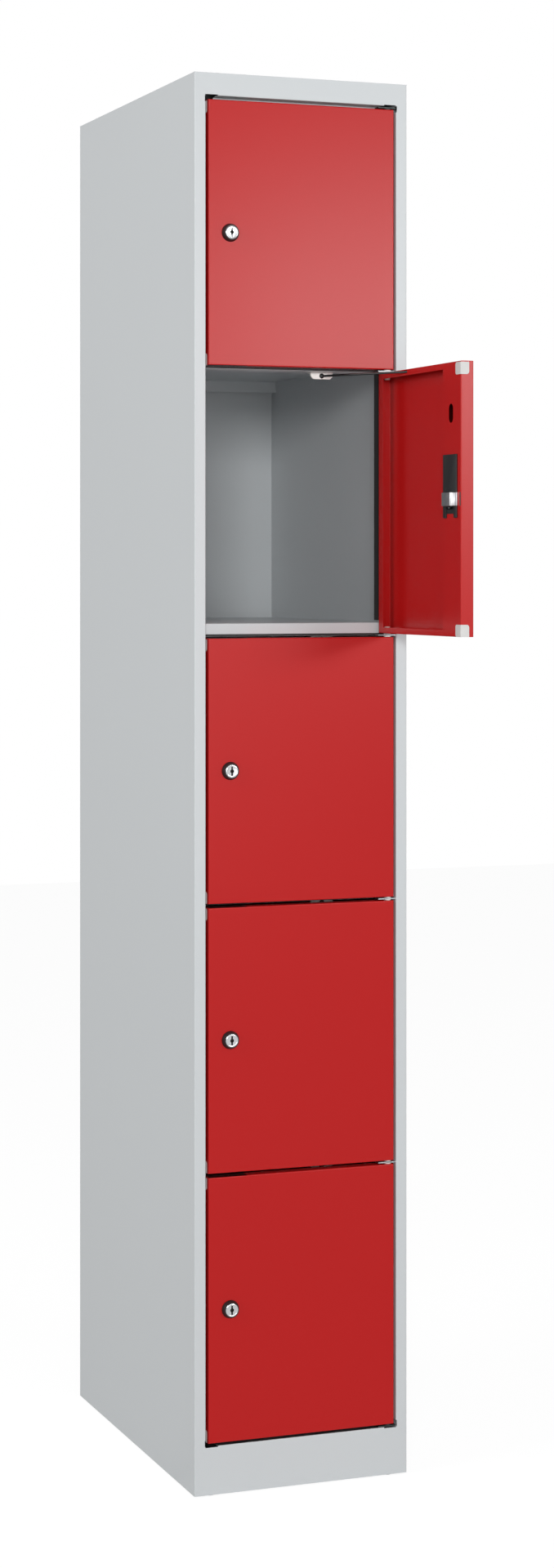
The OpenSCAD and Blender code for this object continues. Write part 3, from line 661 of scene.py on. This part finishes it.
# %% Make the cabinet's own copies
brackets = [copy_to(bracket, f"bracket_{number}", below(number)) for number in DOORS]
hand_over(merge(brackets, "brackets"), "cabinet", "white_plastic", "stay_brackets")
feet = []
for right in (0, 1):
    for rear in (0, 1):
        to_corner = Matrix.Translation((-2 * foot_place.x * right, -2 * foot_place.y * rear, 0))
        feet.append(copy_to(foot, f"foot_{right}_{rear}", to_corner))
hand_over(merge(feet, "feet"), "cabinet", "grey_plastic", "levelling_feet")
clean()
for pattern in (rosette, plug, case, bolt, cap, bush, bracket, stay_ball, rod, foot):
    bpy.data.objects.remove(pattern)
print("pieces made:", len(made))

# %% [markdown]
# Finishes
#
# A finish is a small node tree around the Principled shader. To write its maths as plain sums, a
# `Wire` stands for one output socket, and `1 - wire` or `wire * 0.2` adds the Math node for it.

# %% A wire
class Wire:
    """An output socket that can be used in sums."""
    def __init__(self, finish, socket):
        self.finish, self.socket = finish, socket

    def maths(self, operation, first, second):
        return self.finish.node("ShaderNodeMath", {"operation": operation}, {0: first, 1: second})

    def __add__(self, other):
        return self.maths("ADD", self, other)

    def __radd__(self, other):
        return self.maths("ADD", other, self)

    def __sub__(self, other):
        return self.maths("SUBTRACT", self, other)

    def __rsub__(self, other):
        return self.maths("SUBTRACT", other, self)

    def __mul__(self, other):
        return self.maths("MULTIPLY", self, other)

    def __rmul__(self, other):
        return self.maths("MULTIPLY", other, self)


# %% A finish
class Finish:
    """A material that is built node by node."""
    def __init__(self, name, colour, roughness, metallic=0.0, specular=0.5):
        self.material = bpy.data.materials.new(name)
        self.material.use_nodes = True
        self.tree = self.material.node_tree
        self.shader = self.tree.nodes["Principled BSDF"]
        for socket, value in (("Base Color", (*colour, 1)), ("Roughness", roughness),
                              ("Metallic", metallic), ("Specular IOR Level", specular)):
            self.shader.inputs[socket].default_value = value
        self.place = self.node("ShaderNodeTexCoord", {}, {}, "Object")

    def node(self, kind, settings, sockets, output=0):
        """Adds one node: its type, its settings, then the values or wires of its sockets."""
        node = self.tree.nodes.new(kind)
        for name, value in settings.items():
            setattr(node, name, value)
        for name, value in sockets.items():
            self.feed(node.inputs[name], value)
        return Wire(self, node.outputs[output])

    def feed(self, socket, value):
        """Links a wire to a socket, or sets the socket to a plain value."""
        if isinstance(value, Wire):
            self.tree.links.new(value.socket, socket)
        else:
            socket.default_value = value

    def set(self, name, value):
        self.feed(self.shader.inputs[name], value)

    def noise(self, scale, detail=2.0, roughness=0.5):
        return self.node("ShaderNodeTexNoise", {}, {"Vector": self.place, "Scale": scale,
                                                     "Detail": detail, "Roughness": roughness})

    def between(self, mask, first, second):
        """A colour that goes from one to the other as the mask goes from 0 to 1."""
        first, second = (c if isinstance(c, Wire) else (*c, 1) for c in (first, second))
        return self.node("ShaderNodeMix", {"data_type": "RGBA"},
                         {"Factor": mask, 6: first, 7: second}, 2)

    def axes(self):
        """The x, y and z of the place as three wires."""
        x = self.node("ShaderNodeSeparateXYZ", {}, {"Vector": self.place}, "X")
        outputs = x.socket.node.outputs
        return x, Wire(self, outputs["Y"]), Wire(self, outputs["Z"])

    def within(self, value, low, high):
        """1 where the value lies between the two limits, else 0."""
        return self.node("ShaderNodeMath", {"operation": "COMPARE"},
                         {0: value, 1: (low + high) / 2, 2: (high - low) / 2})

    def bump(self, height, depth, strength=1.0):
        self.set("Normal", self.node("ShaderNodeBump", {}, {"Height": height, "Distance": depth,
                                                            "Strength": strength}))


# %% A screen colour
def linear(*colour):
    """Turns a screen colour (0 to 255) into the linear values that shaders use."""
    shares = [c / 255 for c in colour]
    return tuple(s / 12.92 if s <= 0.04045 else ((s + 0.055) / 1.055) ** 2.4 for s in shares)


def scaled(colour, factor):
    """A linear colour made darker or lighter."""
    return tuple(c * factor for c in colour)


# %% [markdown]
# Powder coat
#
# The sheets are powder coated: fine paint powder melts into a tough satin skin. Seen close, it has
# an orange-peel surface with waves of a millimetre or two and a few hundredths of a millimetre deep.
# Two noises make it, one for the peel and one for a finer grain. A third, very slow one gives the
# slight difference of shade that a large painted sheet has.

# %% The paint
PAINT_SPECULAR = 0.2
SHADE_SCALE, PEEL_SCALE, GRAIN_SCALE, PEEL_DEEP = 2.2, 520.0, 2300.0, 0.03 * mm
DARK_SHADE, LIGHT_SHADE, SHADE_CONTRAST = 0.975, 1.02, 0.8
PEEL_GLOSS, SHADE_GLOSS, GRAIN_SHARE = 0.08, 0.06, 0.15


def powder_coat(name, colour, roughness, covered=None, cover=None):
    """Satin paint. Where the test `covered` gives 1, the colour `cover`, a painted shade, takes its
    place.
    """
    paint = Finish(name, colour, roughness, specular=PAINT_SPECULAR)
    slow = paint.noise(SHADE_SCALE)
    shade = 0.5 + (slow - 0.5) * SHADE_CONTRAST
    coat = paint.between(shade, scaled(colour, DARK_SHADE), scaled(colour, LIGHT_SHADE))
    if covered:
        coat = paint.between(covered(paint), coat, cover)
    paint.set("Base Color", coat)
    peel = paint.noise(PEEL_SCALE, detail=3.0, roughness=0.55)
    grain = paint.noise(GRAIN_SCALE, detail=1.0)
    paint.set("Roughness", roughness + (peel - 0.5) * PEEL_GLOSS + (slow - 0.5) * SHADE_GLOSS)
    paint.bump(peel + grain * GRAIN_SHARE, PEEL_DEEP, strength=0.35)
    return paint


# %% [markdown]
# Painted shade in the fold and on the shelves' fronts
#
# Powder is blown on and held by its charge, and hardly any gets into a closed fold. Inside the fold
# Inside the fold along a door's lock edge the red is darkened. This is painted shade for the hollow
# behind the oblong hole, where little light gets in, and it shows through that hole.
#
# A shelf lies under each door but the lowest. The photograph has a black line under the top door and
# another above the third door, where a shelf's folded front shows in the gap between two doors. That
# front lies in the shade of the door above, so a dark band at a given height on its lower edge is
# painted shade, part of the shelf's finish here. The line under the lowest door is dark too, so the
# plinth's step behind it gets the same painted shade.

# %% Where the fold is painted in shade
# The last number darkens the red inside the fold, as painted shade.
SHEET, LOCK_PANEL, FOLD_SHADE = 0.8 * mm, 54 * mm, 0.12


def in_fold(paint, opened=False):
    """1 inside the fold along a door's lock edge, where shade is painted, 0 elsewhere."""
    x, y, _ = paint.axes()
    if opened:
        x, y = y + (hinge.x - hinge.y), (hinge.x + hinge.y) - x
    return (paint.within(x, door_low.x + 0.5 * SHEET, door_low.x + LOCK_PANEL)
            * paint.within(y, door_low.y + 0.5 * SHEET, panel_y - 0.5 * SHEET))


def in_open_fold(paint):
    return in_fold(paint, opened=True)


# %% Where the shade is painted on the shelves and the plinth
SHELVES = DOORS[:-1]
shelf_lows = [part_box(f"shelf_{number}")[0] for number in SHELVES]
# Height and colour of the band of painted shade under the doors.
SHADE_BAND_HIGH, PAINTED_SHADE_COLOUR = 3.2 * mm, linear(50, 48, 49)
STEP_DOWN, STEP_FRONT, STEP_BACK = 3.5 * mm, 1.6 * mm, 19.5 * mm


def in_lip_shade(paint):
    """1 where shade is painted on the lowest millimetres of each shelf's folded front, else 0."""
    _, y, z = paint.axes()
    band = 0
    for low in shelf_lows:
        band = paint.within(z, low.z - SHEET, low.z + SHADE_BAND_HIGH) + band
    front_y = shelf_lows[0].y
    return band * paint.within(y, front_y - SHEET, front_y + 0.5 * SHEET)


def on_step(paint):
    """1 on the plinth's step behind the lowest door, where shade is painted, 0 elsewhere."""
    _, y, z = paint.axes()
    step = lowest_door_z - STEP_DOWN
    return (paint.within(z, step - 0.5 * SHEET, step + 0.5 * SHEET)
            * paint.within(y, door_low.y + STEP_FRONT, door_low.y + STEP_BACK))


# %% Paint for the cabinet and the doors
GREY, RED = linear(205, 209, 211), linear(184, 22, 22)
GREY_ROUGHNESS, RED_ROUGHNESS = 0.3, 0.25
# The red of the fold, darkened as painted shade.
SHADED_RED = scaled(RED, FOLD_SHADE)
grey_paint = powder_coat("powder_grey", GREY, GREY_ROUGHNESS)
# The shelves and the plinth carry the band of painted shade.
shelf_paint = powder_coat("powder_grey_shelf", GREY, GREY_ROUGHNESS, in_lip_shade, PAINTED_SHADE_COLOUR)
plinth_paint = powder_coat("powder_grey_plinth", GREY, GREY_ROUGHNESS, on_step, PAINTED_SHADE_COLOUR)
# Both door paints carry the painted shade inside the fold.
red_paint = powder_coat("powder_red", RED, RED_ROUGHNESS, in_fold, SHADED_RED)
red_paint_open = powder_coat("powder_red_open_door", RED, RED_ROUGHNESS, in_open_fold, SHADED_RED)
print("grey", [round(c, 3) for c in GREY], "red", [round(c, 3) for c in RED])

# %% [markdown]
# Plastics and rubber
#
# Moulded parts are matt or satin, with a fine spark-eroded grain. The black ones are never fully
# black. The white nylon lets a little light in, which a pale colour and a soft gloss are enough for.
#
# The collars and tabs between two doors are bright in the photograph, and those at the very top and
# bottom are dark with painted shade. Their place tells them apart: they lie beyond the doors.

# %% Plastics
# The colour of the painted shade on the hinge parts at the ends.
END_SHADE_COLOUR, END_REACH = linear(58, 62, 62), 25 * mm
CLOUD_SCALE, CLOUD_DARK, CLOUD_LIGHT = 60.0, 0.92, 1.08
GRAIN_DEEP, GRAIN_GLOSS = 0.02 * mm, 0.12


def at_ends(paint):
    """1 on the hinge parts above and below all doors, where shade is painted, 0 elsewhere."""
    x, _, z = paint.axes()
    between_ends = paint.within(z, lowest_door_z, door_high.z)
    return (1 - between_ends) * paint.within(x, hinge.x - END_REACH, hinge.x + END_REACH)


def moulded(name, colour, roughness, grain, specular=0.4, covered=None):
    """A plastic with a fine grain. Where the test `covered` gives 1, it is dark with painted shade.
    """
    plastic = Finish(name, colour, roughness, specular=specular)
    cloud = plastic.noise(CLOUD_SCALE, detail=3.0)
    texture = plastic.noise(grain)
    skin = plastic.between(cloud, scaled(colour, CLOUD_DARK), scaled(colour, CLOUD_LIGHT))
    if covered:
        skin = plastic.between(covered(plastic), skin, END_SHADE_COLOUR)
    plastic.set("Base Color", skin)
    plastic.set("Roughness", roughness + (texture - 0.5) * GRAIN_GLOSS)
    plastic.bump(texture, GRAIN_DEEP, strength=0.3)
    return plastic


black_plastic = moulded("black_plastic", linear(26, 26, 27), roughness=0.42, grain=2600.0)
black_strip = moulded("black_rubber", linear(22, 22, 23), roughness=0.6, grain=1800.0)
grey_plastic = moulded("grey_plastic", linear(205, 204, 202), roughness=0.42, grain=2200.0)
# The collars at the ends get painted shade.
white_plastic = moulded("white_nylon", linear(232, 232, 228), roughness=0.4, grain=2200.0,
                        covered=at_ends)
black_lacquer = moulded("black_lacquer", linear(24, 24, 25), roughness=0.28, grain=1500.0,
                        specular=0.5)
print("materials so far:", len(bpy.data.materials))

# %% [markdown]
# Metals
#
# The plug's face is polished chrome, the bolt die-cast zinc with a light grain, and the tabs and
# corner plates galvanised sheet, whose crystals show as pale and dark flakes. A Voronoi texture
# makes the flakes: each cell has a random shade. The inside of the keyway is dark metal with
# painted shade for its depth.

# %% Chrome and the keyway's inside
POLISH_DEEP = 0.004 * mm
chrome = Finish("chrome", linear(188, 189, 191), roughness=0.12, metallic=1.0)
wear = chrome.noise(scale=700.0, detail=4.0)
chrome.set("Roughness", 0.1 + wear * 0.1)
chrome.bump(wear, POLISH_DEEP, strength=0.2)

# Painted shade for the inside of the keyway, with a slight mottle.
keyway_shade = Finish("keyway_inside", linear(34, 34, 35), roughness=0.6, specular=0.3)
shade_mottle = keyway_shade.noise(scale=900.0, detail=3.0)
keyway_shade.set("Base Color", keyway_shade.between(shade_mottle, linear(24, 24, 25), linear(42, 41, 40)))

# %% Cast zinc and galvanised sheet
zinc = Finish("cast_zinc", linear(196, 197, 199), roughness=0.3, metallic=1.0)
cast = zinc.noise(scale=900.0, detail=4.0)
patches = zinc.noise(scale=150.0, detail=3.0)
zinc.set("Base Color", zinc.between(patches, linear(176, 177, 180), linear(214, 215, 216)))
zinc.set("Roughness", 0.24 + cast * 0.16)
zinc.bump(cast, GRAIN_DEEP, strength=0.25)

FLAKE_SCALE = 260.0
galvanised = Finish("galvanised", linear(150, 152, 154), roughness=0.42, metallic=1.0)
flakes = galvanised.node("ShaderNodeTexVoronoi", {},
                         {"Vector": galvanised.place, "Scale": FLAKE_SCALE}, "Color")
flake_shade = galvanised.node("ShaderNodeSeparateColor", {}, {"Color": flakes})
spangle = galvanised.between(flake_shade, linear(128, 130, 133), linear(172, 174, 176))
# The tabs at the ends get the same painted shade.
galvanised.set("Base Color", galvanised.between(at_ends(galvanised), spangle, END_SHADE_COLOUR))
galvanised.set("Roughness", 0.34 + flake_shade * 0.16)

# %% [markdown]
# Give each part its finish
#
# Our own pieces know the slot of the CAD record that they take their finish from. The CAD sheets go
# by their names. All that isn't named here is painted grey, as the cabinet is.

# %% Paint the pieces and the CAD sheets
SLOT_FINISHES = {"black_plastic": black_plastic, "black_rod": black_lacquer,
                 "white_plastic": white_plastic, "grey_plastic": grey_plastic,
                 "chrome": chrome, "zinc": zinc}
NODE_FINISHES = {f"door_{number}": red_paint for number in DOORS}
NODE_FINISHES.update({f"shelf_{number}": shelf_paint for number in SHELVES})
NODE_FINISHES.update({f"door_{OPEN_DOOR}": red_paint_open, "floor_plate": plinth_paint,
                      "stop_strips": black_strip, "hinge_tabs": galvanised,
                      "corner_plates": galvanised, "hinge_pins": chrome})


def apply_finish(piece, finish, inside):
    """Gives a piece one material, and another one to the faces of its second slot."""
    if not piece.material_slots:
        piece.data.materials.append(finish.material)
    for number, slot in enumerate(piece.material_slots):
        slot.material = (inside if number else finish).material


for piece in made:
    finish = SLOT_FINISHES[piece["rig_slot"]]
    apply_finish(piece, finish, keyway_shade if finish is chrome else finish)
for name, node in frame["nodes"].items():
    finish = NODE_FINISHES.get(name, grey_paint)
    apply_finish(node, finish, finish)
print("finished:", len(made), "pieces and", len(frame["nodes"]), "CAD parts")

# %% [markdown]
# Studio
#
# The floor is one large plane, as white as the background. Both are white to the camera and in
# reflections, which Light Path tells apart from the light that falls on the locker. Three tenths of
# the floor are an ordinary matt surface, so it keeps a soft shadow beside the locker. Below the
# locker the floor doesn't shine at all: the narrow gap between the feet is dark.

# %% Floor
FLOOR_SIZE, WHITE_PART, WHITE_LEVEL, SHADE_IN = 14, 0.7, 1.31, 15 * mm


def seen(finish):
    """1 for camera, mirror and glass rays, 0 for the light that falls on things."""
    camera_ray = finish.node("ShaderNodeLightPath", {}, {}, "Is Camera Ray")
    rays = camera_ray.socket.node.outputs
    either = camera_ray.maths("MAXIMUM", camera_ray, Wire(finish, rays["Is Glossy Ray"]))
    return camera_ray.maths("MAXIMUM", either, Wire(finish, rays["Is Transmission Ray"]))


clean()
bpy.ops.mesh.primitive_plane_add(size=FLOOR_SIZE, location=(0, 0, 0))
floor = settle(bpy.context.active_object, "studio_floor")

ground = Finish("studio_ground", (0.5, 0.5, 0.5), roughness=0.9, specular=0.1)
speck = ground.noise(scale=3.0)
ground.set("Base Color", ground.between(speck, (0.49, 0.49, 0.49), (0.51, 0.51, 0.51)))
glow = ground.node("ShaderNodeEmission", {}, {"Color": (1, 1, 1, 1), "Strength": WHITE_LEVEL})
across, deep, _ = ground.axes()
half_wide, half_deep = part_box("roof")[1].x - SHADE_IN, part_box("side_left")[1].y - SHADE_IN
under_locker = (ground.within(across, -half_wide, half_wide)
                * ground.within(deep, -half_deep, half_deep))
matt = Wire(ground, ground.shader.outputs[0])
mixed = ground.node("ShaderNodeMixShader", {},
                    {0: seen(ground) * WHITE_PART * (1 - under_locker), 1: matt, 2: glow})
ground.feed(ground.tree.nodes["Material Output"].inputs["Surface"], mixed)
floor.data.materials.append(ground.material)


# %% Background
class Sky(Finish):
    """The world's node tree, built with the same helpers."""
    def __init__(self, world):
        world.use_nodes = True
        self.tree = world.node_tree


AMBIENT = 0.28
world = bpy.data.worlds.new("studio")
bpy.context.scene.world = world
sky = Sky(world)
background = sky.tree.nodes["Background"]
sky.feed(background.inputs["Strength"], AMBIENT + seen(sky) * (1 - AMBIENT))
background.inputs["Color"].default_value = (1, 1, 1, 1)

# %% [markdown]
# Lamps
#
# Five soft boxes give the plain look of a catalogue. Two stand in front, one high and one low, so
# the doors are lit down to the plinth. Two stand at the left, for the long side and the inside of
# the open door. A wide, flat one at the right stands where the doors mirror it: it draws the pale
# sheen on the top door and lets it fade towards the floor.

# %% Place the lamps
def soft_box(name, place, target, width, height, power):
    """A rectangular area lamp that points at its target."""
    lamp = bpy.data.lights.new(name, "AREA")
    lamp.shape, lamp.size, lamp.size_y, lamp.energy = "RECTANGLE", width, height, power
    holder = bpy.data.objects.new(name, lamp)
    holder.location = place
    holder.rotation_euler = (Vector(target) - Vector(place)).to_track_quat("-Z", "Y").to_euler()
    bpy.context.collection.objects.link(holder)


MIDDLE, LOWER, SHEEN_AIM = (0, 0, 1.1), (0, 0, 0.9), (0, -0.25, 1.5)
soft_box("front_left", (-2.2, -5.6, 2.2), MIDDLE, width=1.2, height=1.0, power=120)
soft_box("front_low", (0, -6, 1), LOWER, width=3.5, height=1.2, power=43)
soft_box("sheen", (2.5, -5, 1.95), SHEEN_AIM, width=2, height=0.6, power=72)
soft_box("left", (-4.5, -0.6, 1.9), MIDDLE, width=2.5, height=1.6, power=44)
soft_box("left_high", (-4, -0.6, 3.8), MIDDLE, width=2, height=2, power=33)
print("lamps:", len(bpy.data.lights))

# %% [markdown]
# Camera
#
# The camera was worked out from the straight edges in the photograph. It stands upright, so that
# the locker's edges stay parallel, and the lens is shifted down and sideways to frame it, as an
# architect's camera does.

# %% Place the camera
SENSOR, FOCAL_LENGTH = 36, 67.02
SHIFT_RIGHT, SHIFT_UP = 0.0232, -0.1354
CAMERA_PLACE, CAMERA_TURN = (-1.4163, -3.8206, 1.2028), math.radians(-20.43)
camera_data = bpy.data.cameras.new("camera")
camera_data.sensor_width, camera_data.lens = SENSOR, FOCAL_LENGTH
camera_data.shift_x, camera_data.shift_y = SHIFT_RIGHT, SHIFT_UP
camera = bpy.data.objects.new("camera", camera_data)
camera.location = CAMERA_PLACE
camera.rotation_euler = (QUARTER_TURN, 0, CAMERA_TURN)
bpy.context.collection.objects.link(camera)
bpy.context.scene.camera = camera
bpy.context.scene.view_settings.view_transform = "Standard"
